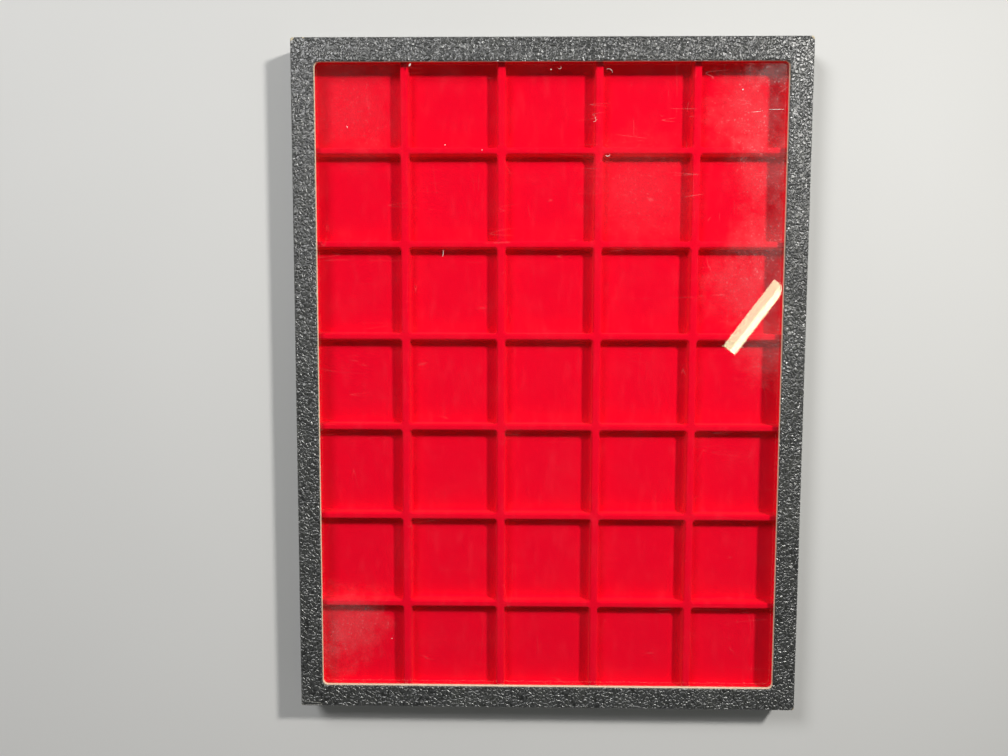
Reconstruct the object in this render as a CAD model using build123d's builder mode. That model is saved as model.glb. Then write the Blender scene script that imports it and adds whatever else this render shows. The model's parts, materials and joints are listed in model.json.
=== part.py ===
from build123d import *
import os

# Coin display case: a telescoping board box. A glazed lid slips over a shallow base,
# and the base holds a flocked tray of pockets on a soft pad.
# The case lies on its back. X runs across it, Y up its long side and Z out of the glass.
# The origin is the middle of the underside. Every length is in millimetres.

os.makedirs("parts", exist_ok=True)

# ---------------------------------------------------------------- driving dimensions

# The pockets each take one square coin holder, 50.8 mm on a side.
columns = 5
rows = 7
pocket_width = 53.8  # across, at the mouth
pocket_length = 52.0  # along the case, at the mouth
pocket_depth = 7.5
pocket_corner = 1.9  # plan radius at the mouth
pocket_draft = 3.0  # degrees, so that the sheet leaves its mould
floor_round = 0.9  # where a pocket's wall runs into its floor
mouth_bevel = 0.9  # where a pocket's wall runs over its rib
rib_across = 4.8  # width of the ribs between the columns
rib_along = 3.9  # width of the ribs between the rows

# The tray is one formed sheet.
sheet_gauge = 0.8
side_flange = 5.3  # flat rim beside the outer columns
end_flange = 6.0  # flat rim beyond the end rows
tray_corner = 3.0

# The pad is a sheet of wadding under the tray.
pad_gauge = 3.9
pad_corner = 2.0

# Board, paper, tape and glass
base_board_gauge = 1.8
lid_board_gauge = 1.8
paper_gauge = 0.25
tape_gauge = 0.2
stay_gauge = 0.2
glass_gauge = 2.0
glass_chamfer = 0.3

# The lid's front
border = 14.0  # width of the frame that shows round the window
window_corner = 3.2
plan_corner = 1.2  # the case's outer upright corners
front_round = 0.9  # the case's outer front edges

# Depths of the paper's turn-ins and of the lid's rim above the table
lid_turn_in = 10.0
base_turn_in = 9.0
rim_lift = 1.0

# Corner stays and glass tapes
stay_leg = 14.0
stay_margin = 1.2  # bare board left above and below a stay
fold_slit = 0.3  # gap between two walls where the folded blank meets itself
tape_setback = 0.9  # how far a tape stays back behind the window's edge
board_lap = 4.0  # how far a tape runs out over the lid board

# ---------------------------------------------------------------- clearances

tray_clearance = 0.35  # tray to the base's turn-in, each side
pad_clearance = 0.5  # pad to the base board, each side
pad_gap = 0.25  # pad to the tray's underside
glass_clearance = 2.05  # glass edge to the base's turn-in, each side
glass_gap = 0.25  # tray to the tapes under the glass
slip_fit = 0.4  # lid's turn-in to the base's wrap, each side
rim_gap = 0.35  # base's rim to the tapes above it
tape_gap = 0.2  # between two tapes at a corner of the glass

# ---------------------------------------------------------------- worked-out sizes

# Plan, from the pockets outward
pitch_x = pocket_width + rib_across
pitch_y = pocket_length + rib_along
tray_width = columns * pitch_x - rib_across + 2 * side_flange
tray_length = rows * pitch_y - rib_along + 2 * end_flange
base_inner_width = tray_width + 2 * (tray_clearance + paper_gauge)
base_inner_length = tray_length + 2 * (tray_clearance + paper_gauge)
base_board_width = base_inner_width + 2 * base_board_gauge
base_board_length = base_inner_length + 2 * base_board_gauge
base_width = base_board_width + 2 * paper_gauge
base_length = base_board_length + 2 * paper_gauge
lid_inner_width = base_width + 2 * (slip_fit + paper_gauge)
lid_inner_length = base_length + 2 * (slip_fit + paper_gauge)
lid_board_width = lid_inner_width + 2 * lid_board_gauge
lid_board_length = lid_inner_length + 2 * lid_board_gauge
case_width = lid_board_width + 2 * paper_gauge
case_length = lid_board_length + 2 * paper_gauge
window_width = case_width - 2 * border
window_length = case_length - 2 * border
glass_width = base_inner_width - 2 * (paper_gauge + glass_clearance)
glass_length = base_inner_length - 2 * (paper_gauge + glass_clearance)
board_corner = plan_corner - paper_gauge
board_round = front_round - paper_gauge

# Levels, from the underside upward
base_board_bottom = paper_gauge
base_floor = base_board_bottom + base_board_gauge
tray_foot = base_floor + pad_gauge + pad_gap
pocket_floor = tray_foot + sheet_gauge
tray_top = pocket_floor + pocket_depth
tape_bottom = tray_top + glass_gap
glass_bottom = tape_bottom + tape_gauge
panel_bottom = glass_bottom + glass_gauge
panel_top = panel_bottom + lid_board_gauge
case_height = panel_top + paper_gauge
base_rim = panel_bottom - tape_gauge - rim_gap
base_board_top = base_rim - paper_gauge
lid_board_bottom = rim_lift + paper_gauge

print(f"case {case_width:.2f} x {case_length:.2f} x {case_height:.2f}")
print(f"window {window_width:.2f} x {window_length:.2f}, glass {glass_width:.2f} x {glass_length:.2f}")
print(f"tray {tray_width:.2f} x {tray_length:.2f}")
print(f"pocket floor at {pocket_floor:.2f}, rib top at {tray_top:.2f}")


# ---------------------------------------------------------------- shared shapes


def slab(width, length, bottom, top, corner, mode=Mode.ADD):
    """A flat block with rounded upright corners, between two levels."""
    with BuildSketch(Plane.XY.offset(bottom)) as outline:
        RectangleRounded(width, length, corner)
    extrude(outline.sketch, amount=top - bottom, mode=mode)


def opening(width, length, bottom, top):
    """A square-cornered hole between two levels."""
    with BuildSketch(Plane.XY.offset(bottom)) as outline:
        Rectangle(width, length)
    extrude(outline.sketch, amount=top - bottom, mode=Mode.SUBTRACT)


def turn_in(inner_width, inner_length, level, depth):
    """A band of cover paper glued inside a box's walls, from one level down or up by a depth."""
    with BuildSketch(Plane.XY.offset(level)) as outline:
        Rectangle(inner_width, inner_length)
        Rectangle(inner_width - 2 * paper_gauge, inner_length - 2 * paper_gauge, mode=Mode.SUBTRACT)
    extrude(outline.sketch, amount=depth)


def fold_slits(inner_width, inner_length, gauge, bottom, top):
    """The four gaps where the end walls of a folded blank butt against its side walls."""
    spacing_x = inner_width - fold_slit
    spacing_y = inner_length + gauge
    with BuildSketch(Plane.XY.offset(bottom)) as outline:
        with GridLocations(spacing_x, spacing_y, 2, 2):
            Rectangle(fold_slit, gauge)
    extrude(outline.sketch, amount=top - bottom, mode=Mode.SUBTRACT)


def stay_angle(board_width, board_length, bottom, top, side, end, mode=Mode.ADD):
    """A strip folded round one outer corner of a board box, flush with the board's faces."""
    with BuildSketch(Plane.XY.offset(bottom)) as outline:
        RectangleRounded(board_width, board_length, board_corner)
        RectangleRounded(
            board_width - 2 * stay_gauge,
            board_length - 2 * stay_gauge,
            board_corner - stay_gauge,
            mode=Mode.SUBTRACT,
        )
        with Locations((side * board_width / 2, end * board_length / 2)):
            Rectangle(2 * stay_leg, 2 * stay_leg, mode=Mode.INTERSECT)
    extrude(outline.sketch, amount=top - bottom, mode=mode)


def front_rounded_block(width, length, bottom, top, corner, front_radius):
    """A slab whose front edges are rounded too."""
    with BuildPart() as block:
        slab(width, length, bottom, top, corner)
        fillet(block.faces().sort_by(Axis.Z)[-1].edges(), radius=front_radius)
    return block.part


corner_signs = {
    "top_left": (-1, 1),
    "top_right": (1, 1),
    "bottom_left": (-1, -1),
    "bottom_right": (1, -1),
}
lid_stay_levels = (lid_board_bottom + stay_margin, panel_bottom - stay_margin)
base_stay_levels = (base_floor + stay_margin, base_board_top - stay_margin)

# ---------------------------------------------------------------- lid

lid_board_block = front_rounded_block(
    lid_board_width, lid_board_length, lid_board_bottom, panel_top, board_corner, board_round
)
lid_cover_block = front_rounded_block(
    case_width, case_length, rim_lift, case_height, plan_corner, front_round
)

# The lid board is one die-cut blank: a panel with the window in it and four folded walls.
with BuildPart() as lid_board:
    add(lid_board_block)
    opening(lid_inner_width, lid_inner_length, lid_board_bottom, panel_bottom)
    slab(window_width, window_length, panel_bottom, panel_top, window_corner, mode=Mode.SUBTRACT)
    fold_slits(lid_inner_width, lid_inner_length, lid_board_gauge, lid_board_bottom, panel_bottom)
    for side, end in corner_signs.values():
        stay_angle(lid_board_width, lid_board_length, *lid_stay_levels, side, end, mode=Mode.SUBTRACT)
lid_board.part.label = "lid_board"
export_step(lid_board.part, "parts/lid_board.step")

# The cover paper lies over the front and the walls, goes round the rim and is turned in.
with BuildPart() as lid_cover:
    add(lid_cover_block)
    add(lid_board_block, mode=Mode.SUBTRACT)
    opening(lid_inner_width, lid_inner_length, rim_lift, lid_board_bottom)
    slab(window_width, window_length, panel_top, case_height, window_corner, mode=Mode.SUBTRACT)
    turn_in(lid_inner_width, lid_inner_length, rim_lift, lid_turn_in)
lid_cover.part.label = "lid_cover"
export_step(lid_cover.part, "parts/lid_cover.step")

for place, (side, end) in corner_signs.items():
    with BuildPart() as lid_stay:
        stay_angle(lid_board_width, lid_board_length, *lid_stay_levels, side, end)
    lid_stay.part.label = f"lid_stay_{place}"
    export_step(lid_stay.part, f"parts/lid_stay_{place}.step")

# The pane lies against the back of the lid's panel.
with BuildPart() as glass_pane:
    with BuildSketch(Plane.XY.offset(glass_bottom)):
        Rectangle(glass_width, glass_length)
    extrude(amount=glass_gauge)
    chamfer(glass_pane.edges().filter_by(GeomType.LINE), length=glass_chamfer)
glass_pane.part.label = "glass_pane"
export_step(glass_pane.part, "parts/glass_pane.step")


def tape_section(plane, glass_half, window_half, side):
    """A tape's section: along the back of the glass, up past its edge and out over the board."""
    inner_edge = side * (window_half + tape_setback)
    glass_edge = side * glass_half
    fold = side * (glass_half + tape_gauge)
    outer_edge = side * (glass_half + board_lap)
    with BuildSketch(plane) as section:
        with BuildLine():
            Polyline(
                (inner_edge, tape_bottom),
                (fold, tape_bottom),
                (fold, panel_bottom - tape_gauge),
                (outer_edge, panel_bottom - tape_gauge),
                (outer_edge, panel_bottom),
                (glass_edge, panel_bottom),
                (glass_edge, glass_bottom),
                (inner_edge, glass_bottom),
                close=True,
            )
        make_face()
    return section.sketch


# Side tapes run along Y between the end tapes, which run along X from edge to edge.
end_tape_inner_edge = window_length / 2 + tape_setback
side_tape_half = end_tape_inner_edge - tape_gap
for place, side in {"left": -1, "right": 1}.items():
    with BuildPart() as side_tape:
        extrude(
            tape_section(Plane.XZ, glass_width / 2, window_width / 2, side),
            amount=side_tape_half,
            both=True,
        )
    side_tape.part.label = f"glass_tape_{place}"
    export_step(side_tape.part, f"parts/glass_tape_{place}.step")

for place, end in {"top": 1, "bottom": -1}.items():
    with BuildPart() as end_tape:
        extrude(
            tape_section(Plane.YZ, glass_length / 2, window_length / 2, end),
            amount=glass_width / 2,
            both=True,
        )
    end_tape.part.label = f"glass_tape_{place}"
    export_step(end_tape.part, f"parts/glass_tape_{place}.step")

# ---------------------------------------------------------------- tray

# One pocket's room, and the outside of the sheet that is drawn down round it
with BuildPart() as pocket_room:
    with BuildSketch(Plane.XY.offset(tray_top)):
        RectangleRounded(pocket_width, pocket_length, pocket_corner)
    extrude(amount=-pocket_depth, taper=pocket_draft)
    fillet(pocket_room.faces().sort_by(Axis.Z)[0].edges(), radius=floor_round)

with BuildPart() as pocket_outside:
    with BuildSketch(Plane.XY.offset(tray_top)):
        RectangleRounded(
            pocket_width + 2 * sheet_gauge,
            pocket_length + 2 * sheet_gauge,
            pocket_corner + sheet_gauge,
        )
    extrude(amount=-pocket_depth - sheet_gauge, taper=pocket_draft)

# The hollow under the sheet is the room between the pockets' undersides and the skirt.
with BuildPart() as tray_hollow:
    slab(
        tray_width - 2 * sheet_gauge,
        tray_length - 2 * sheet_gauge,
        tray_foot,
        tray_top - sheet_gauge,
        tray_corner - sheet_gauge,
    )
    with GridLocations(pitch_x, pitch_y, columns, rows):
        add(pocket_outside.part, mode=Mode.SUBTRACT)

# The tray is one sheet drawn down into the pockets and round its outer edge.
with BuildPart() as tray:
    slab(tray_width, tray_length, tray_foot, tray_top, tray_corner)
    add(tray_hollow.part, mode=Mode.SUBTRACT)
    with GridLocations(pitch_x, pitch_y, columns, rows):
        add(pocket_room.part, mode=Mode.SUBTRACT)
    chamfer(tray.faces().sort_by(Axis.Z)[-1].edges(), length=mouth_bevel)
tray.part.label = "tray"
export_step(tray.part, "parts/tray.step")

# ---------------------------------------------------------------- base

with BuildPart() as pad:
    slab(
        base_inner_width - 2 * pad_clearance,
        base_inner_length - 2 * pad_clearance,
        base_floor,
        base_floor + pad_gauge,
        pad_corner,
    )
pad.part.label = "pad"
export_step(pad.part, "parts/pad.step")

# The base board is a second folded blank, a shallow open box.
with BuildPart() as base_board:
    slab(base_board_width, base_board_length, base_board_bottom, base_board_top, board_corner)
    opening(base_inner_width, base_inner_length, base_floor, base_board_top)
    fold_slits(base_inner_width, base_inner_length, base_board_gauge, base_floor, base_board_top)
    for side, end in corner_signs.values():
        stay_angle(base_board_width, base_board_length, *base_stay_levels, side, end, mode=Mode.SUBTRACT)
base_board.part.label = "base_board"
export_step(base_board.part, "parts/base_board.step")

# The base's wrap is a band of cover paper up the walls, over the rim and down inside.
with BuildPart() as base_wrap:
    slab(base_width, base_length, base_board_bottom, base_rim, plan_corner)
    slab(
        base_board_width,
        base_board_length,
        base_board_bottom,
        base_board_top,
        board_corner,
        mode=Mode.SUBTRACT,
    )
    opening(base_inner_width, base_inner_length, base_board_top, base_rim)
    turn_in(base_inner_width, base_inner_length, base_rim, -base_turn_in)
base_wrap.part.label = "base_wrap"
export_step(base_wrap.part, "parts/base_wrap.step")

# A sheet of the same paper closes the underside.
with BuildPart() as base_sheet:
    slab(base_width, base_length, 0, base_board_bottom, plan_corner)
base_sheet.part.label = "base_sheet"
export_step(base_sheet.part, "parts/base_sheet.step")

for place, (side, end) in corner_signs.items():
    with BuildPart() as base_stay:
        stay_angle(base_board_width, base_board_length, *base_stay_levels, side, end)
    base_stay.part.label = f"base_stay_{place}"
    export_step(base_stay.part, f"parts/base_stay_{place}.step")
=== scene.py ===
# %% [markdown]
# # Coin display case
# A shallow board box covered in black grained paper. Its lid has a window with a pane behind it, and
# red flocked pockets lie under the glass. The packed model gives every size and place, so each piece
# below is built round it, in metres.

# %% Load the packed model
import json
import math

import bmesh
import bpy
from mathutils import Matrix, Vector, noise


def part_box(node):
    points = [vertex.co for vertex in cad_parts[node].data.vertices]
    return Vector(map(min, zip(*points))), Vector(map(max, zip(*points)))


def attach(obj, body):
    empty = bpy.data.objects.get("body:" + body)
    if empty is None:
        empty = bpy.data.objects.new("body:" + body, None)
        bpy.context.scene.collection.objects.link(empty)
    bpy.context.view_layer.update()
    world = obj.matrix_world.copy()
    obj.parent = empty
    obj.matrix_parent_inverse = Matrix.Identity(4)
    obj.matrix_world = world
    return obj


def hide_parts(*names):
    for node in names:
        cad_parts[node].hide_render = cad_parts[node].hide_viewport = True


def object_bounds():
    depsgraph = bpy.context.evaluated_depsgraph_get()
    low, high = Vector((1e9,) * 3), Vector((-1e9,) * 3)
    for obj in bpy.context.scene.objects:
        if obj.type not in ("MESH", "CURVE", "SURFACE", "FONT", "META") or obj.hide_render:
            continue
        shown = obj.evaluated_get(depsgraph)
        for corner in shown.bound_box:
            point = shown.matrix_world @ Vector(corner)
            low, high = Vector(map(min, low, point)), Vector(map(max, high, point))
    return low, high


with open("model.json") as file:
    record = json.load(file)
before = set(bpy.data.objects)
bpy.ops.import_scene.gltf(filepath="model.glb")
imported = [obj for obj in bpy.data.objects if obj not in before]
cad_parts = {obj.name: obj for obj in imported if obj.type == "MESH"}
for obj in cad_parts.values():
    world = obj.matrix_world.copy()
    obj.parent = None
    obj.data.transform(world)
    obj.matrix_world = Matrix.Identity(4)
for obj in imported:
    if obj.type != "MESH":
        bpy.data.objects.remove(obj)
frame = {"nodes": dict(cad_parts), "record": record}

case_low, case_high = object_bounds()
print("case box", [round(v, 4) for v in case_low], [round(v, 4) for v in case_high])

# %% [markdown]
# ## Sizes
# Most sizes can be read from the boxes of the packed pieces. The pockets' spacing comes from the boxes
# that the record gives for their room. The border is the black frame's width, from the case's edge to
# the window's, which no box shows.

# %% Read the sizes
MM = 0.001
half_width = case_high.x
half_length = case_high.y
front_level = case_high.z

cover_low, cover_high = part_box("lid_cover")
pane_low, pane_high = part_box("glass_pane")
tray_low, tray_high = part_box("tray")
pad_low, pad_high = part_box("pad")

rooms = {room["name"]: room["box_m"] for room in frame["record"]["physics"]["openings"]}


def middle(name):
    """The middle of one pocket's room, seen from the front."""
    low, high = rooms[name]
    return Vector(((low[0] + high[0]) / 2, (low[1] + high[1]) / 2, 0))


COLUMNS, ROWS = 5, 7
pitch_x = middle("pocket_row4_column4").x - middle("pocket_row4_column3").x
pitch_y = middle("pocket_row3_column2").y - middle("pocket_row4_column2").y
border = 14.0 * MM
window_half_width = half_width - border
window_half_length = half_length - border
print("pitch", round(pitch_x, 4), round(pitch_y, 4), "window half", round(window_half_width, 4))

# %% [markdown]
# ## The camera
# The photograph was taken from about half a metre in front of the glass, a little above the middle.
# Placing the camera first lets later cells turn a place in the picture into a place on the case.

# %% Place the camera
PICTURE_WIDTH, PICTURE_HEIGHT = 1008, 756
SENSOR = 36.0
LENS = 27.04
eye = Vector((-20.3, 36.7, 478.7)) * MM
eye_right = Vector((0.99988, 0.00269, -0.01535))
eye_back = Vector((0.01511, 0.07313, 0.99721)).normalized()
eye_right = (eye_right - eye_right.project(eye_back)).normalized()
eye_up = eye_back.cross(eye_right)

camera_data = bpy.data.cameras.new("front_view")
camera_data.sensor_width = SENSOR
camera_data.lens = LENS
camera_data.clip_start = 0.01
camera_data.clip_end = 50
camera = bpy.data.objects.new("front_view", camera_data)
bpy.context.scene.collection.objects.link(camera)
turn = Matrix((eye_right, eye_up, eye_back)).transposed()
camera.matrix_world = Matrix.Translation(eye) @ turn.to_4x4()
bpy.context.scene.camera = camera


def seen_at(across, down, level):
    """The point at a level over the table that shows at a place in the picture."""
    focal = LENS / SENSOR * PICTURE_WIDTH
    ray = (
        eye_right * (across - PICTURE_WIDTH / 2)
        - eye_up * (down - PICTURE_HEIGHT / 2)
        - eye_back * focal
    )
    return eye + ray * ((level - eye.z) / ray.z)


print("middle of the picture is over", [round(v, 4) for v in seen_at(504, 378, pane_high.z)])

# %% [markdown]
# ## Shader maths
# A finish is easier to read as sums and products than as a list of nodes and links. One small class
# wraps a node's output, so that an expression on it adds Math nodes. A second one holds the material
# and has one method that makes any other node.


# %% A wire and a finish
class Wire:
    """A shader node's output. Arithmetic on it adds Math nodes."""

    def __init__(self, finish, socket):
        self.finish = finish
        self.socket = socket

    def combine(self, operation, first, second):
        return self.finish.node("ShaderNodeMath", {"operation": operation}, {0: first, 1: second})

    def __add__(self, other):
        return self.combine("ADD", self, other)

    def __radd__(self, other):
        return self.combine("ADD", other, self)

    def __sub__(self, other):
        return self.combine("SUBTRACT", self, other)

    def __rsub__(self, other):
        return self.combine("SUBTRACT", other, self)

    def __mul__(self, other):
        return self.combine("MULTIPLY", self, other)

    def __rmul__(self, other):
        return self.combine("MULTIPLY", other, self)


class Finish:
    """The nodes of one material, or of the world."""

    def __init__(self, tree):
        self.tree = tree
        tree.nodes.clear()

    def node(self, kind, settings=None, sockets=None, output=0):
        """Adds any node: its settings first, then the values or wires of its sockets."""
        made = self.tree.nodes.new(kind)
        for key, value in (settings or {}).items():
            if key == "stops":
                for stop, (place, shade) in zip(made.color_ramp.elements, value):
                    stop.position = place
                    stop.color = shade
            else:
                setattr(made, key, value)
        for key, value in (sockets or {}).items():
            if isinstance(value, Wire):
                self.tree.links.new(value.socket, made.inputs[key])
            else:
                made.inputs[key].default_value = value
        return Wire(self, made.outputs[output])

    def place(self):
        """Each point's own place on the case, in metres."""
        return self.node("ShaderNodeTexCoord", output="Object")

    def vectors(self, operation, first, second, output=0):
        """Vector Math on two points, or on a point and three factors."""
        sockets = {0: first, 1: second}
        return self.node("ShaderNodeVectorMath", {"operation": operation}, sockets, output)

    def distance(self, place, spot):
        """How far each point is from one spot, in metres."""
        return self.vectors("DISTANCE", place, tuple(spot), output="Value")

    def speckle(self, grain, detail=2.0, stretch=None, output=0):
        """Noise from 0 to 1 whose patches are about as wide as the grain."""
        point = self.place()
        if stretch:
            point = self.vectors("MULTIPLY", point, stretch)
        sockets = {"Vector": point, "Scale": 1 / grain, "Detail": detail}
        return self.node("ShaderNodeTexNoise", {}, sockets, output)

    def ease(self, value, low, high):
        """0 under the low value, 1 over the high one, and a smooth step between."""
        return self.node(
            "ShaderNodeMapRange",
            {"interpolation_type": "SMOOTHSTEP"},
            {"Value": value, "From Min": low, "From Max": high},
        )

    def at_most(self, value, limit):
        return self.node("ShaderNodeMath", {"operation": "MINIMUM"}, {0: value, 1: limit})

    def mix(self, mask, first, second):
        """The first colour where the mask is 0, and the second where it is 1."""
        sockets = {0: mask, 6: first, 7: second}
        return self.node("ShaderNodeMix", {"data_type": "RGBA"}, sockets, output=2)

    def bump(self, height, depth, strength=1.0):
        """A normal that leans as the height does. The depth is the height of 1, in metres."""
        sockets = {"Height": height, "Distance": depth, "Strength": strength}
        return self.node("ShaderNodeBump", {}, sockets)

    def principled(self, sockets):
        return self.node("ShaderNodeBsdfPrincipled", {}, sockets)

    def end(self, surface, kind="ShaderNodeOutputMaterial"):
        """Joins the last shader to the output of the material, or of the world."""
        last = self.tree.nodes.new(kind)
        self.tree.links.new(surface.socket, last.inputs["Surface"])


def new_finish(name):
    material = bpy.data.materials.new(name)
    material.use_nodes = True
    return material, Finish(material.node_tree)


def shade(red, green, blue):
    return (red, green, blue, 1.0)


print("finishes are made with", [name for name in vars(Finish) if not name.startswith("_")])

# %% [markdown]
# ## Grained black paper
# The cover is paper pressed with a leather grain: pebbles about two millimetres wide with furrows
# between them. The furrows are painted darker than the pebble tops, as painted shade. They are the
# edges of Voronoi cells, and noise moves each point first, so that no cell stays straight. Each pebble
# is smooth, so it glints where its slope faces a lamp, and the paper is nearly black elsewhere. At the
# corners and at a few knocks the black has rubbed off to cream.

# %% Place the worn spots
def front_corner(side, end, inward=0.0):
    """A front corner of the case, or a place along its end edge that far from it."""
    return Vector((side * (half_width - inward), end * half_length, front_level))


WORN_SPOTS = {
    "top_left": (front_corner(-1, 1), 2.6 * MM),
    "top_edge": (front_corner(-1, 1, 8 * MM), 1.0 * MM),
    "top_right": (front_corner(1, 1), 2.3 * MM),
    "bottom_right": (front_corner(1, -1), 2.0 * MM),
    "bottom_left": (front_corner(-1, -1), 1.4 * MM),
    "first_knock": (front_corner(-1, -1, 38 * MM), 0.8 * MM),
    "second_knock": (front_corner(-1, -1, 80 * MM), 0.8 * MM),
}
print(len(WORN_SPOTS), "worn spots")

# %% Make the grained paper
PEBBLE = 2.5 * MM
DRIFT_GRAIN = 3.2 * MM
DRIFT_REACH = 2.4 * MM
FURROW_SHARE = 0.30
GRAIN_DEPTH = 0.62 * MM
WORN_WANDER = 2.2 * MM
WORN_EDGE = 0.5 * MM
GRAIN_INDEX = 2.2  # higher than real paper's, for glints as strong as the photograph's


def grained_paper():
    material, f = new_finish("grained_paper")
    place = f.place()
    drift = f.speckle(DRIFT_GRAIN, 2.0, output="Color")
    drift = f.node("ShaderNodeVectorMath", {"operation": "SCALE"}, {0: drift, "Scale": DRIFT_REACH})
    furrow = f.node(
        "ShaderNodeTexVoronoi",
        {"feature": "DISTANCE_TO_EDGE"},
        {"Vector": f.vectors("ADD", place, drift), "Scale": 1 / PEBBLE},
    )
    pebble = f.ease(furrow, 0.0, FURROW_SHARE)
    fine = f.speckle(0.5 * MM, 2.0)
    patches = f.speckle(14 * MM, 3.0)

    rubbed = 0.0
    ragged = (f.speckle(0.9 * MM, 4.0) - 0.5) * WORN_WANDER
    for spot, reach in WORN_SPOTS.values():
        rubbed = f.ease(f.distance(place, spot) + ragged, reach, reach - WORN_EDGE) + rubbed
    rubbed = f.at_most(rubbed, 1.0)

    # painted shade: the furrows between the pebbles are painted darker than the pebble tops
    black_with_furrow_shade = f.mix(pebble, shade(0.004, 0.0045, 0.004), shade(0.022, 0.024, 0.020))
    black_with_furrow_shade = f.mix(f.ease(patches, 0.45, 0.85), black_with_furrow_shade, shade(0.030, 0.032, 0.026))
    cream = shade(0.55, 0.47, 0.30)
    f.end(f.principled({
        "Base Color": f.mix(rubbed, black_with_furrow_shade, cream),
        "Roughness": 0.31 + patches * 0.12 + rubbed * 0.4,
        "IOR": GRAIN_INDEX,
        "Normal": f.bump(pebble * 0.8 + fine * 0.2, GRAIN_DEPTH),
    }))
    return material


leather = grained_paper()
print(leather.name, len(leather.node_tree.nodes), "nodes")

# %% [markdown]
# ## Board, papers and wadding
# The raw board shows all round the window as a cream line. Its cut edge is fibrous, so the noise is
# stretched along the sheet. The gummed strips are brown paper, and the wadding is a tangle of fibres.

# %% Make the board, the papers and the wadding
CLOUD = 22 * MM  # how wide the faint clouds in a stuff are


def fibrous(name, low, high, grain, stretch, roughness, depth, sheen=0.0):
    """A dull stuff of fibres: two shades mixed by noise that is stretched along them."""
    material, f = new_finish(name)
    fibres = f.speckle(grain, 5.0, stretch=stretch)
    clouds = f.speckle(CLOUD, 3.0)
    f.end(f.principled({
        "Base Color": f.mix(fibres * 0.65 + clouds * 0.35, shade(*low), shade(*high)),
        "Roughness": roughness - 0.12 * fibres,
        "Sheen Weight": sheen,
        "Normal": f.bump(fibres, depth),
    }))
    return material


raw_board = fibrous(
    "raw_board", low=(0.56, 0.46, 0.30), high=(0.86, 0.77, 0.58),
    grain=0.5 * MM, stretch=(0.35, 0.35, 1.6), roughness=0.95, depth=0.12 * MM,
)
gummed_strip = fibrous(
    "gummed_strip", low=(0.38, 0.26, 0.15), high=(0.62, 0.47, 0.30),
    grain=0.9 * MM, stretch=(0.3, 1, 1), roughness=0.72, depth=0.05 * MM,
)
plain_black_paper = fibrous(
    "plain_black_paper", low=(0.020, 0.020, 0.019), high=(0.055, 0.054, 0.050),
    grain=0.8 * MM, stretch=(1, 0.4, 1), roughness=0.86, depth=0.05 * MM,
)
wadding_fibres = fibrous(
    "wadding_fibres", low=(0.66, 0.65, 0.61), high=(0.90, 0.89, 0.86),
    grain=1.4 * MM, stretch=(0.5, 1, 1), roughness=0.98, depth=0.5 * MM, sheen=0.3,
)
rubbed_paper = fibrous(
    "rubbed_paper", low=(0.16, 0.16, 0.145), high=(0.46, 0.45, 0.41),
    grain=0.6 * MM, stretch=(1, 1, 1), roughness=0.55, depth=0.05 * MM,
)
print("five dull stuffs of fibres, from", raw_board.name, "to", rubbed_paper.name)

# %% [markdown]
# ## Red flock
# Flock is short fibre standing on glue. It has no shine of its own and catches light at a slant, so the
# finish is rough, with some sheen and a very fine bump. Dust turns it slightly pink in patches.


# %% Make the flock
def red_flock():
    material, f = new_finish("red_flock")
    pile = f.speckle(0.45 * MM, 4.0)
    brushed = f.speckle(9 * MM, 4.0, stretch=(1.6, 0.5, 1))
    red = f.mix(pile, shade(0.88, 0.0, 0.014), shade(0.99, 0.0, 0.030))
    f.end(f.principled({
        "Base Color": f.mix(f.ease(brushed, 0.50, 0.85) * 0.25, red, shade(0.97, 0.03, 0.06)),
        "Roughness": 0.88 + 0.1 * pile,
        "Specular IOR Level": 0.03,
        "Sheen Weight": 0.12,
        "Sheen Roughness": 0.5,
        "Sheen Tint": shade(1.0, 0.25, 0.3),
        "Normal": f.bump(pile, 0.16 * MM, 0.7),
    }))
    return material


flock = red_flock()
print(flock.name, len(flock.node_tree.nodes), "nodes")

# %% [markdown]
# ## Dusty glass
# A pane lets light straight through and mirrors a little of what is over it, more at a slant. Its light
# isn't bent, so the mirroring has to be the same from inside as from outside: a Fresnel node would
# mirror everything over 42 degrees on the way out and leave the pockets dark. Schlick's formula on the
# slant has no such side. Dust, smears and scratches lie on the outer face only, and each patch of dust
# is given by its place in the picture, its reach and its strength.

# %% Place the dust
DUST_PATCHES = {
    "lower_left": ((352, 622), 30 * MM, 0.085),
    "left_edge": ((330, 655), 22 * MM, 0.05),
    "upper_right": ((752, 110), 34 * MM, 0.075),
    "top_right_corner": ((775, 72), 16 * MM, 0.11),
    "right_edge": ((745, 285), 32 * MM, 0.065),
    "right_strip_upper": ((776, 165), 34 * MM, 0.090),
    "right_strip_middle": ((776, 245), 34 * MM, 0.095),
    "right_strip_lower": ((772, 345), 30 * MM, 0.080),
    "upper_left": ((350, 110), 40 * MM, 0.030),
    "upper_middle": ((640, 190), 46 * MM, 0.030),
}
SCRATCHED = ((690, 150), 105 * MM)
# how the noise of each run of scratches is stretched, and how wide its lines are
STROKES = (((0.06, 1.0, 1.0), 0.0035), ((0.8, 0.09, 1.0), 0.0025))
print(len(DUST_PATCHES), "patches of dust")

# %% Make the glass
OUTER_FACE = (0.4 * MM, 0.1 * MM)
DUST_WANDER = 34 * MM
AT_HEAD_ON = 0.04


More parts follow.
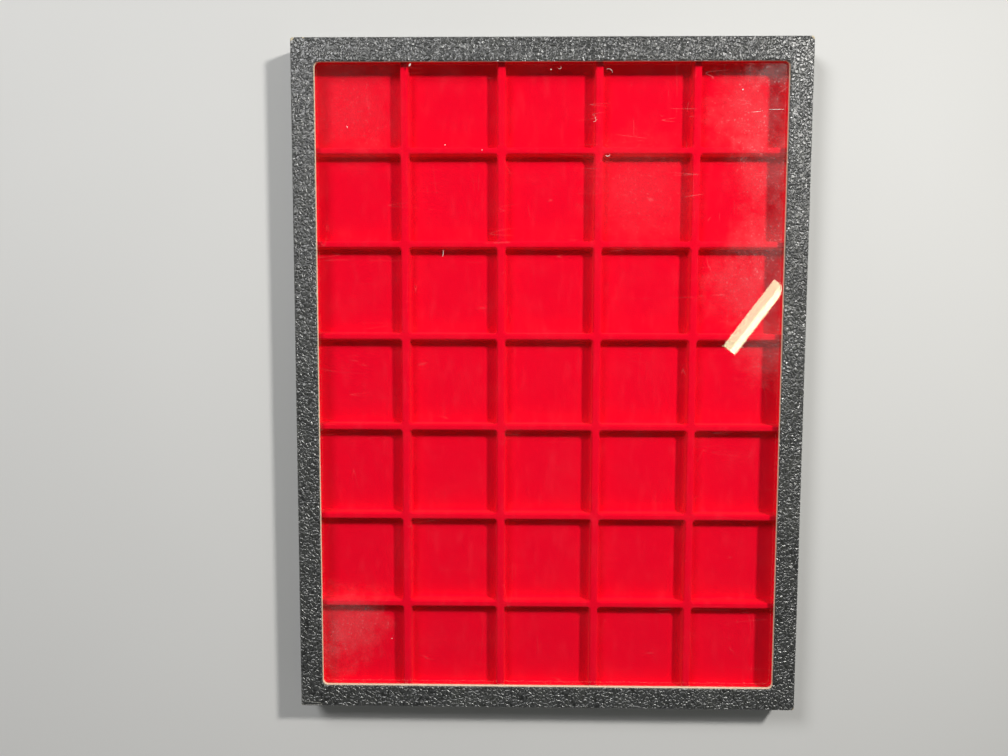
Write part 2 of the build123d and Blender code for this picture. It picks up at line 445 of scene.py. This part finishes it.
def dusty_glass():
    material, f = new_finish("dusty_glass")
    place = f.place()
    level = f.node("ShaderNodeSeparateXYZ", {}, {0: place}, output=2)
    outer = f.ease(level, *(pane_high.z - depth for depth in OUTER_FACE))

    def nearness(across, down, reach, wander):
        """1 at a place in the picture, falling raggedly to 0 at the reach."""
        spot = seen_at(across, down, pane_high.z)
        return f.ease(f.distance(place, spot) + wander, reach, 0.0)

    cloud = (f.speckle(7 * MM, 6.0) - 0.5) * DUST_WANDER
    dust = f.ease(f.speckle(19 * MM, 5.0), 0.42, 0.80) * 0.006 + 0.0015
    for (across, down), reach, strength in DUST_PATCHES.values():
        dust = dust + nearness(across, down, reach, cloud) * strength
    grit = f.ease(f.speckle(1.1 * MM, 2.0), 0.60, 0.74)
    dust = dust * (0.55 + grit * 1.5)

    where, reach = SCRATCHED
    worn = nearness(*where, reach, cloud)
    strokes = 0.0
    for stretch, line in STROKES:
        field = f.speckle(11 * MM, 1.0, stretch=stretch)
        off_line = f.node("ShaderNodeMath", {"operation": "ABSOLUTE"}, {0: field - 0.5})
        strokes = f.ease(off_line, line, 0.0) + strokes
    broken = f.ease(f.speckle(16 * MM, 2.0), 0.52, 0.62)
    dust = dust + strokes * broken * (0.03 + worn * 0.10)
    dust = f.at_most(dust * outer, 0.5)

    facing = f.node("ShaderNodeLayerWeight", {}, {"Blend": 0.5}, output="Facing")
    steep = f.node("ShaderNodeMath", {"operation": "POWER"}, {0: facing, 1: 5.0})
    mirror = steep * (1 - AT_HEAD_ON) + AT_HEAD_ON
    see_through = f.node("ShaderNodeBsdfTransparent", {}, {"Color": shade(0.995, 1.0, 0.997)})
    shine = f.node("ShaderNodeBsdfGlossy", {}, {"Roughness": 0.015})
    clear = f.node("ShaderNodeMixShader", {}, {0: mirror, 1: see_through, 2: shine})
    film = f.principled({
        "Base Color": shade(0.86, 0.82, 0.80),
        "Roughness": 0.62,
        "Specular IOR Level": 0.8,
    })
    f.end(f.node("ShaderNodeMixShader", {}, {0: dust, 1: clear, 2: film}))
    return material


glass = dusty_glass()
print(glass.name, len(glass.node_tree.nodes), "nodes")

# %% [markdown]
# ## Building with rings
# Nearly every piece of the case follows a rounded rectangle. A ring of points always has the same order
# and number, so faces can join one ring to the next, and a piece is a list of rings. Noise from
# Blender's own library moves points a little, so that nothing is as straight as a drawing.

# %% Draw a ring
CORNERS = ((1, 1), (-1, 1), (-1, -1), (1, -1))


def ring(half_x, half_y, radius, level, runs, corner_steps):
    """Points once round a rounded rectangle, counter-clockwise."""
    points = []
    for quarter, (side, end) in enumerate(CORNERS):
        centre = Vector((side * (half_x - radius), end * (half_y - radius), level))
        for step in range(corner_steps + 1):
            angle = math.pi / 2 * (quarter + step / corner_steps)
            points.append(centre + radius * Vector((math.cos(angle), math.sin(angle), 0)))
        next_side, next_end = CORNERS[(quarter + 1) % 4]
        next_centre = Vector((next_side * (half_x - radius), next_end * (half_y - radius), level))
        start = points[-1]
        finish = next_centre + (start - centre)
        count = runs[quarter % 2]
        points += [start.lerp(finish, step / count) for step in range(1, count)]
    return points


print("the smallest ring has", len(ring(1, 1, 0.5, 0, (1, 1), 1)), "points")


# %% Join rings to a skin
def skin(name, rings, material, closed=False):
    """A smooth-shaded mesh object whose faces join each ring to the next."""
    count = len(rings[0])
    rows = list(range(len(rings)))
    pairs = list(zip(rows, rows[1:] + rows[:1])) if closed else list(zip(rows, rows[1:]))
    faces = []
    for lower, upper in pairs:
        for i in range(count):
            j = (i + 1) % count
            faces.append((lower * count + i, lower * count + j, upper * count + j, upper * count + i))
    mesh = bpy.data.meshes.new(name)
    mesh.from_pydata([tuple(point) for points in rings for point in points], [], faces)
    return finish_mesh(name, mesh, material)


def finish_mesh(name, mesh, material):
    """Points every face outward, shades it smooth and puts it in the scene."""
    work = bmesh.new()
    work.from_mesh(mesh)
    bmesh.ops.recalc_face_normals(work, faces=work.faces)
    work.to_mesh(mesh)
    work.free()
    mesh.shade_smooth()
    mesh.materials.append(material)
    piece = bpy.data.objects.new(name, mesh)
    bpy.context.scene.collection.objects.link(piece)
    print(name, len(mesh.vertices), "points", len(mesh.polygons), "faces")
    return piece


# %% Spread values and ripple
def between(first, last, count):
    """Evenly spaced values from the first to the last, both among them."""
    return [first + (last - first) * step / (count - 1) for step in range(count)]


def ripple(point, wavelength, seed=0.0):
    """Smooth noise of about -1 to 1 over the case."""
    return noise.noise(point / wavelength + Vector((seed, seed, seed)))


print("ripple at the front's corner", round(ripple(case_high, 17 * MM), 3))

# %% [markdown]
# ## The lid's cover
# One skin of paper starts at the window, crosses the front, turns down the wall, goes round the rim and
# up inside. It is thin, so a second run of rings closes it against the board. It was never cut quite
# true: it stops short of the window's edge at the left and the bottom, where the raw board shows as a
# cream line, and laps a little over the edge at the top, where only a few nicks are bare.

# %% Cut the paper short of the window
WINDOW_CORNER = 3.2 * MM
BARE_LEFT = 0.22 * MM
BARE_RIGHT = 0.08 * MM
RIGHT_SLANT = 0.4  # more bare board toward the bottom, in millimetres a metre
BARE_BOTTOM = 0.24 * MM
BARE_TOP = -0.30 * MM
NICK_DEPTH = 1.1 * MM


def paper_short_of_window(point):
    """How far the paper's edge moves outward from the window at a point, as a vector."""
    reach_x = max(abs(point.x) - window_half_width + WINDOW_CORNER, 0.0)
    reach_y = max(abs(point.y) - window_half_length + WINDOW_CORNER, 0.0)
    outward = Vector((math.copysign(reach_x, point.x), math.copysign(reach_y, point.y), 0)).normalized()
    at_side = BARE_LEFT if point.x < 0 else BARE_RIGHT - RIGHT_SLANT * point.y * MM
    at_end = BARE_TOP if point.y > 0 else BARE_BOTTOM
    bare = abs(outward.x) * at_side + abs(outward.y) * at_end
    wander = 0.05 * MM * ripple(point, 9 * MM)
    nick = NICK_DEPTH * max(0.0, ripple(point, 2.4 * MM, 5) - 0.42)
    return outward * (bare + wander + nick)


left_edge = Vector((-window_half_width, 0, front_level))
print("bare board at the left", round(paper_short_of_window(left_edge).length / MM, 2), "mm")

# %% Run the cover's rings
PAPER = 0.25 * MM
FRONT_ROUND = 0.9 * MM
PLAN_CORNER = 1.2 * MM
WALL = 2.3 * MM
TURN_IN = 10.0 * MM
COVER_RUNS = (180, 240)
COVER_CORNER_STEPS = 8
RIM_ROUND = 0.3 * MM


def cover_ring(inset, level):
    """A ring of the cover, whose corner grows from the case's to the window's."""
    share = min(inset / border, 1.0)
    radius = PLAN_CORNER + (WINDOW_CORNER - PLAN_CORNER) * share
    return ring(half_width - inset, half_length - inset, radius, level, COVER_RUNS, COVER_CORNER_STEPS)


def outer_profile():
    """From the window over the front, down the wall, round the rim and up inside."""
    rim = cover_low.z
    profile = [(inset, front_level) for inset in between(border, FRONT_ROUND, 13)]
    for angle in between(0, math.pi / 2, 7)[1:]:
        drop = FRONT_ROUND * (1 - math.cos(angle))
        profile.append((FRONT_ROUND * (1 - math.sin(angle)), front_level - drop))
    wall_foot = rim + RIM_ROUND
    profile += [(0.0, level) for level in between(front_level - FRONT_ROUND, wall_foot, 15)[1:]]
    profile += [(RIM_ROUND, rim), (WALL - RIM_ROUND, rim), (WALL, wall_foot)]
    profile += [(WALL, level) for level in between(wall_foot, rim + TURN_IN, 8)[1:]]
    return profile


def inner_profile():
    """Back along the board, one paper's gauge behind the outer run."""
    rim = cover_low.z
    return [
        (WALL - PAPER, rim + TURN_IN),
        (WALL - PAPER, rim + PAPER),
        (PAPER, rim + PAPER),
        (PAPER, front_level - FRONT_ROUND),
        (FRONT_ROUND, front_level - PAPER),
        (border, front_level - PAPER),
    ]


print("the cover takes", len(outer_profile()) + len(inner_profile()), "rings")

# %% Build the cover
CRUSHED_REACH = 5 * MM
WORN_REACH = 3 * MM
SWELL = 0.05 * MM


def build_cover(material):
    outer = outer_profile()
    profile = outer + inner_profile()
    rings = [cover_ring(inset, level) for inset, level in profile]
    for index, (inset, level) in enumerate(profile):
        near_window = max(0.0, 1 - (border - inset) / WORN_REACH)
        worn_back = near_window if level > front_level - 2 * PAPER else 0.0
        swell = SWELL if level > front_level - MM else 0.0
        for point in rings[index]:
            short = paper_short_of_window(point)
            corner_gap = math.hypot(half_width - abs(point.x), half_length - abs(point.y))
            crushed = max(0.0, 1 - corner_gap / CRUSHED_REACH) ** 2
            if index < len(outer):
                point.z += swell * (ripple(point, 17 * MM) - 0.6)
                inward = Vector((-math.copysign(1, point.x), -math.copysign(1, point.y), -0.5))
                point += inward * (crushed * (0.08 + 0.15 * ripple(point, 2 * MM, 3)) * MM)
            point += short * worn_back
    return skin("cover", rings, material, closed=True)


cover = build_cover(leather)
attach(cover, "lid")
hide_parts("lid_cover")

# %% [markdown]
# ## Threads
# Two small things are thin threads: the loop of paper that the bottom left corner's fold leaves, and the
# bits of lint on the glass. A thread is a run of small rings that taper at both ends. A Blender curve
# with a bevel would do as well, but rings keep the count of points low and known.

# %% Draw threads
THREAD_TIP = 0.15  # how thin a thread gets at its ends, before the square root


def threads(name, runs, material, sides=6):
    """One object of thin threads. Each run is a list of points and a radius."""
    work = bmesh.new()
    for points, radius in runs:
        last = len(points) - 1
        rings = []
        for index, point in enumerate(points):
            heading = points[min(index + 1, last)] - points[max(index - 1, 0)]
            across = heading.cross(Vector((0, 0, 1))).normalized()
            thickness = radius * max(math.sin(math.pi * index / last), THREAD_TIP) ** 0.5
            angles = [2 * math.pi * step / sides for step in range(sides)]
            spokes = [across * math.cos(angle) + Vector((0, 0, math.sin(angle))) for angle in angles]
            rings.append([work.verts.new(point + thickness * spoke) for spoke in spokes])
        for lower, upper in zip(rings, rings[1:]):
            for i in range(sides):
                j = (i + 1) % sides
                work.faces.new((lower[i], lower[j], upper[j], upper[i]))
        work.faces.new(rings[0])
        work.faces.new(rings[-1])
    mesh = bpy.data.meshes.new(name)
    work.to_mesh(mesh)
    work.free()
    return finish_mesh(name, mesh, material)


# %% Loop the corner's fold
FOLD_RADIUS = 0.22 * MM
FOLD_LOOP = (
    (302, 701.5), (307, 701.2), (314, 702), (320.5, 702.8), (322.5, 704),
    (318, 704.8), (310, 704.4), (304.5, 705.2), (303, 703.6),
)
fold_level = front_level - 0.6 * FOLD_RADIUS
fold_points = [seen_at(across, down, fold_level) for across, down in FOLD_LOOP]
corner_fold = threads("corner_fold", [(fold_points, FOLD_RADIUS)], rubbed_paper)
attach(corner_fold, "lid")

# %% [markdown]
# ## Lint
# The glass carries a few bright specks, hairs and curls. Each is an arc that lies on the pane. Its row
# says where it shows in the picture, how long it is, where it heads, how far it bends and how thick
# it is.

# %% Bend a bit of lint
CURL_STEPS = 8


def curl(across, down, length, heading, bend, radius):
    """A bit of lint on the glass: an arc from its middle, by its length, heading and bend in degrees."""
    middle_point = seen_at(across, down, pane_high.z + radius)
    stride = length / CURL_STEPS
    points = [Vector((0, 0, 0))]
    for step in range(CURL_STEPS):
        turned = math.radians(heading + bend * (step / (CURL_STEPS - 1) - 0.5))
        points.append(points[-1] + Vector((math.cos(turned), math.sin(turned), 0)) * stride)
    centre = sum(points, Vector((0, 0, 0))) / len(points)
    return [middle_point + point - centre for point in points], radius


print("a curl has", len(curl(504, 378, MM, 0, 0, MM)[0]), "points")

# %% Scatter the lint
LINT = {
    "stroke": (409.7, 64.9, 2.0 * MM, 60, 10, 0.50 * MM),
    "upper_dot": (551, 69.5, 0.8 * MM, 0, 0, 0.35 * MM),
    "left_dot": (445, 145, 0.7 * MM, 0, 0, 0.28 * MM),
    "middle_dot": (482, 150, 0.7 * MM, 40, 0, 0.28 * MM),
    "right_dot": (742.9, 89.6, 1.0 * MM, 0, 0, 0.45 * MM),
    "bright_curl": (608, 155.6, 3.2 * MM, 10, 130, 0.20 * MM),
    "hair": (443, 253.5, 4.2 * MM, 85, 35, 0.14 * MM),
    "left_speck": (347, 127, 1.4 * MM, 120, 40, 0.20 * MM),
    "low_speck": (392, 638.5, 1.0 * MM, 0, 20, 0.16 * MM),
    "right_line": (776.5, 109.4, 9.0 * MM, 1, 4, 0.16 * MM),
    "right_tail": (757, 111.6, 7.0 * MM, 6, 8, 0.10 * MM),
    "faint_curl": (560, 68, 3.0 * MM, 30, 160, 0.10 * MM),
    "long_curl": (610, 70, 5.0 * MM, 150, 110, 0.10 * MM),
    "loose_curl": (595, 120, 4.0 * MM, 70, 150, 0.09 * MM),
}
lint_fibre, f = new_finish("lint_fibre")
pale = f.mix(f.speckle(0.6 * MM, 2.0), shade(0.72, 0.70, 0.66), shade(0.95, 0.94, 0.90))
f.end(f.principled({"Base Color": pale, "Roughness": 0.8}))
lint = threads("lint", [curl(*bit) for bit in LINT.values()], lint_fibre)
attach(lint, "lid")

# %% [markdown]
# ## The flocked tray
# The tray is one sheet drawn down into pockets, so its ribs are soft on top and its pockets have round
# corners. One cell is a pocket with half of each rib round it. Copies of the cell meet point to point,
# so welding them gives one sheet, and its edge is then drawn out to the rim and down.

# %% Ring one pocket
RIB_ACROSS = 4.8 * MM
RIB_ALONG = 3.9 * MM
POCKET_CORNER = 1.9 * MM
SMALLEST_CORNER = 0.3 * MM
SHEET = 0.8 * MM
DRAFT = math.radians(3)
MOUTH_ROUND = 1.1 * MM
FLOOR_ROUND = 1.2 * MM
CELL_RUNS = (14, 14)
CELL_CORNER_STEPS = 8
pocket_floor = tray_low.z + SHEET
mouth_half_x = (pitch_x - RIB_ACROSS) / 2
mouth_half_y = (pitch_y - RIB_ALONG) / 2


def pocket_ring(offset, level):
    """A ring of a pocket, larger than its mouth by an offset."""
    radius = max(POCKET_CORNER + offset, SMALLEST_CORNER)
    half_x, half_y = mouth_half_x + offset, mouth_half_y + offset
    return ring(half_x, half_y, radius, level, CELL_RUNS, CELL_CORNER_STEPS)


print("pocket mouth", round(2 * mouth_half_x, 4), "by", round(2 * mouth_half_y, 4))


# %% Edge one cell
def cell_edge():
    """The ring on the middle of the ribs. Corner points spread over the two sides that meet there."""
    points = []
    flat_x, flat_y = mouth_half_x - POCKET_CORNER, mouth_half_y - POCKET_CORNER
    half = CELL_CORNER_STEPS // 2
    for quarter, (side, end) in enumerate(CORNERS):
        upright_first = quarter % 2 == 0
        for step in range(CELL_CORNER_STEPS + 1):
            first_leg = min(step / half, 1.0)
            second_leg = max((step - half) / half, 0.0)
            grow_y, grow_x = first_leg, 1 - second_leg
            if not upright_first:
                grow_y, grow_x = grow_x, grow_y
            x = flat_x + (pitch_x / 2 - flat_x) * grow_x
            y = flat_y + (pitch_y / 2 - flat_y) * grow_y
            points.append(Vector((side * x, end * y, tray_high.z)))
        next_side, next_end = CORNERS[(quarter + 1) % 4]
        start = points[-1]
        finish = Vector((start.x * side * next_side, start.y * end * next_end, start.z))
        count = CELL_RUNS[quarter % 2]
        points += [start.lerp(finish, step / count) for step in range(1, count)]
    return points


print("a cell's edge has", len(cell_edge()), "points")


# %% Draw one cell down
def cell_rings():
    """From the middle of the ribs over the mouth's round, down the drafted wall and across the floor."""
    rings = [cell_edge(), pocket_ring(MOUTH_ROUND, tray_high.z)]
    for angle in between(0, math.pi / 2, 6)[1:]:
        offset = MOUTH_ROUND * (1 - math.sin(angle))
        rings.append(pocket_ring(offset, tray_high.z - MOUTH_ROUND * (1 - math.cos(angle))))
    wall_top = tray_high.z - MOUTH_ROUND
    wall_foot = pocket_floor + FLOOR_ROUND
    for level in between(wall_top, wall_foot, 4)[1:]:
        rings.append(pocket_ring(-math.tan(DRAFT) * (wall_top - level), level))
    foot = -math.tan(DRAFT) * (wall_top - wall_foot)
    for angle in between(0, math.pi / 2, 5)[1:]:
        level = wall_foot - FLOOR_ROUND * math.sin(angle)
        rings.append(pocket_ring(foot - FLOOR_ROUND * (1 - math.cos(angle)), level))
    for offset in between(-3 * MM, -24 * MM, 7):
        rings.append(pocket_ring(offset, pocket_floor))
    return rings


print("a cell has", len(cell_rings()), "rings")

# %% Build the tray
WELD = 0.02 * MM
CLOSE = 0.1 * MM
RIM_ROUNDS = ((MM, 0.0), (0.3 * MM, 0.3 * MM), (0.0, MM))  # inset and drop of each step of the rim
FLOOR_SWELL = 0.10 * MM


def build_tray(material):
    rings = cell_rings()
    count = len(rings[0])
    work = bmesh.new()
    for row in range(ROWS):
        for column in range(COLUMNS):
            across = (column - (COLUMNS - 1) / 2) * pitch_x
            along = ((ROWS - 1) / 2 - row) * pitch_y
            centre = Vector((across, along, 0))
            made = [[work.verts.new(centre + point) for point in points] for points in rings]
            for outer, inner in zip(made, made[1:]):
                for i in range(count):
                    j = (i + 1) % count
                    work.faces.new((outer[i], outer[j], inner[j], inner[i]))
            work.faces.new(made[-1])
    bmesh.ops.remove_doubles(work, verts=work.verts, dist=WELD)
    block_x, block_y = COLUMNS * pitch_x / 2, ROWS * pitch_y / 2
    edge = [e for e in work.edges if e.is_boundary]
    print("tray edge", len(edge), "block", round(block_x, 4), round(block_y, 4))
    skirt = (0.0, tray_high.z - tray_low.z)
    for inset, drop in RIM_ROUNDS + (skirt,):
        new = bmesh.ops.extrude_edge_only(work, edges=edge)["geom"]
        for vert in [v for v in new if isinstance(v, bmesh.types.BMVert)]:
            if abs(vert.co.x) > block_x - CLOSE:
                vert.co.x = math.copysign(tray_high.x - inset, vert.co.x)
            if abs(vert.co.y) > block_y - CLOSE:
                vert.co.y = math.copysign(tray_high.y - inset, vert.co.y)
            vert.co.z = tray_high.z - drop
        edge = [e for e in new if isinstance(e, bmesh.types.BMEdge)]
    for vert in work.verts:
        if pocket_floor - CLOSE < vert.co.z < pocket_floor + CLOSE:
            vert.co.z += FLOOR_SWELL * (0.5 + 0.5 * ripple(vert.co, 21 * MM))
    mesh = bpy.data.meshes.new("flocked_tray")
    work.to_mesh(mesh)
    work.free()
    tray = finish_mesh("flocked_tray", mesh, material)
    gauge = tray.modifiers.new("gauge", "SOLIDIFY")
    gauge.thickness = SHEET * 0.9
    gauge.offset = -1
    return tray


tray = build_tray(flock)
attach(tray, "tray")
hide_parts("tray")

# %% [markdown]
# ## The wadding pad
# A sheet of soft fibre fills the space under the tray. Its edge is rounded and sinks a little, and its
# top is lumpy, so it is a closed form of rings with noise added to the levels.

# %% Build the pad
PAD_RUNS = (70, 94)
PAD_CORNER = 6 * MM
PAD_CORNER_STEPS = 6
PAD_UNDERSIDE = [(60 * MM, 0.0), (3 * MM, 0.0), (0.9 * MM, 0.02), (0.1 * MM, 0.25), (0.0, 0.45)]
PAD_SHOULDER = [(0.3 * MM, 0.68), (1.3 * MM, 0.86), (3.5 * MM, 0.95)]


def build_pad(material):
    """Each row of the profile is an inset from the pad's edge and a share of its thickness."""
    thick = pad_high.z - pad_low.z
    profile = PAD_UNDERSIDE + PAD_SHOULDER
    profile += [(inset, 0.97) for inset in between(8 * MM, 144 * MM, 22)]
    rings = []
    for inset, share in profile:
        radius = max(2.0 * MM, PAD_CORNER - inset)
        half_x, half_y = pad_high.x - inset, pad_high.y - inset
        points = ring(half_x, half_y, radius, 0.0, PAD_RUNS, PAD_CORNER_STEPS)
        for point in points:
            lump = 0.06 * ripple(point, 11 * MM) + 0.03 * ripple(point, 4 * MM, 2) - 0.06
            point.z = pad_low.z + thick * max(0.0, share + (lump if share > 0.5 else 0.0))
        rings.append(points)
    pad = skin("wadding_pad", rings, material)
    work = bmesh.new()
    work.from_mesh(pad.data)
    bmesh.ops.holes_fill(work, edges=[e for e in work.edges if e.is_boundary], sides=0)
    bmesh.ops.recalc_face_normals(work, faces=work.faces)
    work.to_mesh(pad.data)
    work.free()
    return pad


pad = build_pad(wadding_fibres)
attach(pad, "base")
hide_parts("pad")

# %% [markdown]
# ## Finishes for the packed pieces
# The pane, boards, wrap, strips and tapes already have their true shape, so they keep their meshes and
# only get a finish.

# %% Dress the packed pieces
finish_of_slot = {
    "board": raw_board,
    "gummed_paper": gummed_strip,
    "under_sheet": plain_black_paper,
    "glass": glass,
    "cover_paper": leather,
}
slot_of_node = {part["node"]: part["material_slot"] for part in frame["record"]["subparts"]}
for node, piece in frame["nodes"].items():
    if piece.hide_render:
        continue
    piece.data.materials.clear()
    piece.data.materials.append(finish_of_slot[slot_of_node[node]])
print("dressed", sum(not piece.hide_render for piece in frame["nodes"].values()), "packed pieces")

# %% [markdown]
# ## Floor
# The case lies on a plain pale floor, so that its shadow shows. The floor is wide enough to reach far
# behind the case from any side, and lies just under it, so that the two don't share a face.

# %% Lay the floor
FLOOR_HALF = 6.0
FLOOR_LEVEL = -0.2 * MM
FLOOR_GRAIN = 0.2
floor_finish, f = new_finish("pale_floor")
paint = f.mix(f.speckle(FLOOR_GRAIN), shade(0.63, 0.63, 0.62), shade(0.67, 0.67, 0.66))
f.end(f.principled({"Base Color": paint, "Roughness": 0.9}))
floor_mesh = bpy.data.meshes.new("floor")
floor_corners = [(side * FLOOR_HALF, end * FLOOR_HALF, FLOOR_LEVEL) for side, end in CORNERS]
floor_mesh.from_pydata(floor_corners, [], [(0, 1, 2, 3)])
floor_mesh.materials.append(floor_finish)
floor = bpy.data.objects.new("floor", floor_mesh)
bpy.context.scene.collection.objects.link(floor)
print("floor", 2 * FLOOR_HALF, "m wide")

# %% [markdown]
# ## Lamps
# The main lamp is small and stands at the upper right: the ribs' shadows are longer at the left and at
# the bottom, which gives its place. It is aimed past the far corner, so that it doesn't burn out the
# near one. A weak broad lamp at the upper left fills the shadows of the upright ribs more than those of
# the level ribs.


# %% Hang the lamps
def area_lamp(name, place, watts, size, tint=(1.0, 1.0, 1.0)):
    """A round lamp of one size, or an oblong one of two."""
    data = bpy.data.lights.new(name, "AREA")
    data.shape = "DISK" if len(size) == 1 else "RECTANGLE"
    data.size = size[0]
    data.size_y = size[-1]
    data.energy = watts
    data.color = tint
    made = bpy.data.objects.new(name, data)
    bpy.context.scene.collection.objects.link(made)
    made.location = place
    made.rotation_mode = "QUATERNION"
    return made


def aim(made, target):
    made.rotation_quaternion = (Vector(target) - made.location).to_track_quat("-Z", "Y")


main_lamp = area_lamp(
    "main_lamp", place=(0.60, 0.47, 0.68), watts=5.6, size=(0.11,), tint=(1.0, 0.98, 0.94)
)
main_lamp.data.spread = math.radians(130)
aim(main_lamp, (-0.9, -0.7, 0))
fill_lamp = area_lamp("fill_lamp", place=(-0.66, 0.78, 0.97), watts=10.0, size=(0.5,))
aim(fill_lamp, (0, 0, 0))
print("lamps at", [[round(v, 2) for v in lamp.location] for lamp in (main_lamp, fill_lamp)])

# %% [markdown]
# ## The streak in the glass
# A tube with a bright core shows as a slanting streak in the glass. Its two ends are known in the
# picture, so each sight line is mirrored on the pane and followed up to the tube's height.

# %% Find what the glass mirrors
STREAK_ENDS = ((729.3, 350.5), (780.5, 284))
STREAK_HEIGHT = 1.3
STREAK_WIDTH = 0.035
CORE_WIDTH = 0.013
CORE_SIDE = -1  # the bright core runs along the right of the streak
CORE_MARGIN = 0.003
CORE_DROP = 0.002


def mirrored(across, down):
    """The place at the streak lamp's height that the glass mirrors to a place in the picture."""
    hit = seen_at(across, down, pane_high.z)
    ray = hit - eye
    return hit + Vector((ray.x, ray.y, -ray.z)) * ((STREAK_HEIGHT - hit.z) / -ray.z)


first, last = (mirrored(*end) for end in STREAK_ENDS)
length = (last - first).length
print("tube from", [round(v, 3) for v in first], "length", round(length, 3))

# %% Hang the tube
upright = Vector((0, 0, 1))
run = (last - first).normalized()
sideways = upright.cross(run)
hang = Matrix((run, sideways, upright)).transposed().to_quaternion()
half_way = (first + last) / 2
tube = area_lamp(
    "tube_lamp", place=half_way, watts=0.24, size=(length, STREAK_WIDTH), tint=(0.90, 1.0, 0.62)
)
core = area_lamp(
    "tube_core", place=half_way, watts=0.07, size=(length, CORE_WIDTH), tint=(1.0, 1.0, 0.72)
)
core.location += sideways * (STREAK_WIDTH / 2 - CORE_WIDTH / 2 - CORE_MARGIN) * CORE_SIDE
core.location.z -= CORE_DROP
tube.rotation_quaternion = hang
core.rotation_quaternion = hang
print("core at", [round(v, 3) for v in core.location])

# %% [markdown]
# ## The world
# The world is pale near the horizon and dark overhead, so that the glass stays clear from the front and
# the case is still lit softly from all sides.

# %% Light the world
world = bpy.data.worlds.new("studio")
bpy.context.scene.world = world
world.use_nodes = True
w = Finish(world.node_tree)
heading = w.node("ShaderNodeTexCoord", output="Generated")
upward = w.node("ShaderNodeSeparateXYZ", {}, {0: heading}, output=2)
sky = w.mix(w.ease(upward, 0.20, 0.80), shade(0.86, 0.87, 0.88), shade(0.03, 0.03, 0.03))
glow = w.node("ShaderNodeBackground", {}, {"Color": sky, "Strength": 0.5})
w.end(glow, "ShaderNodeOutputWorld")
bpy.context.scene.view_settings.view_transform = "Standard"
print("world", world.name, "seen through", bpy.context.scene.view_settings.view_transform)

# %% [markdown]
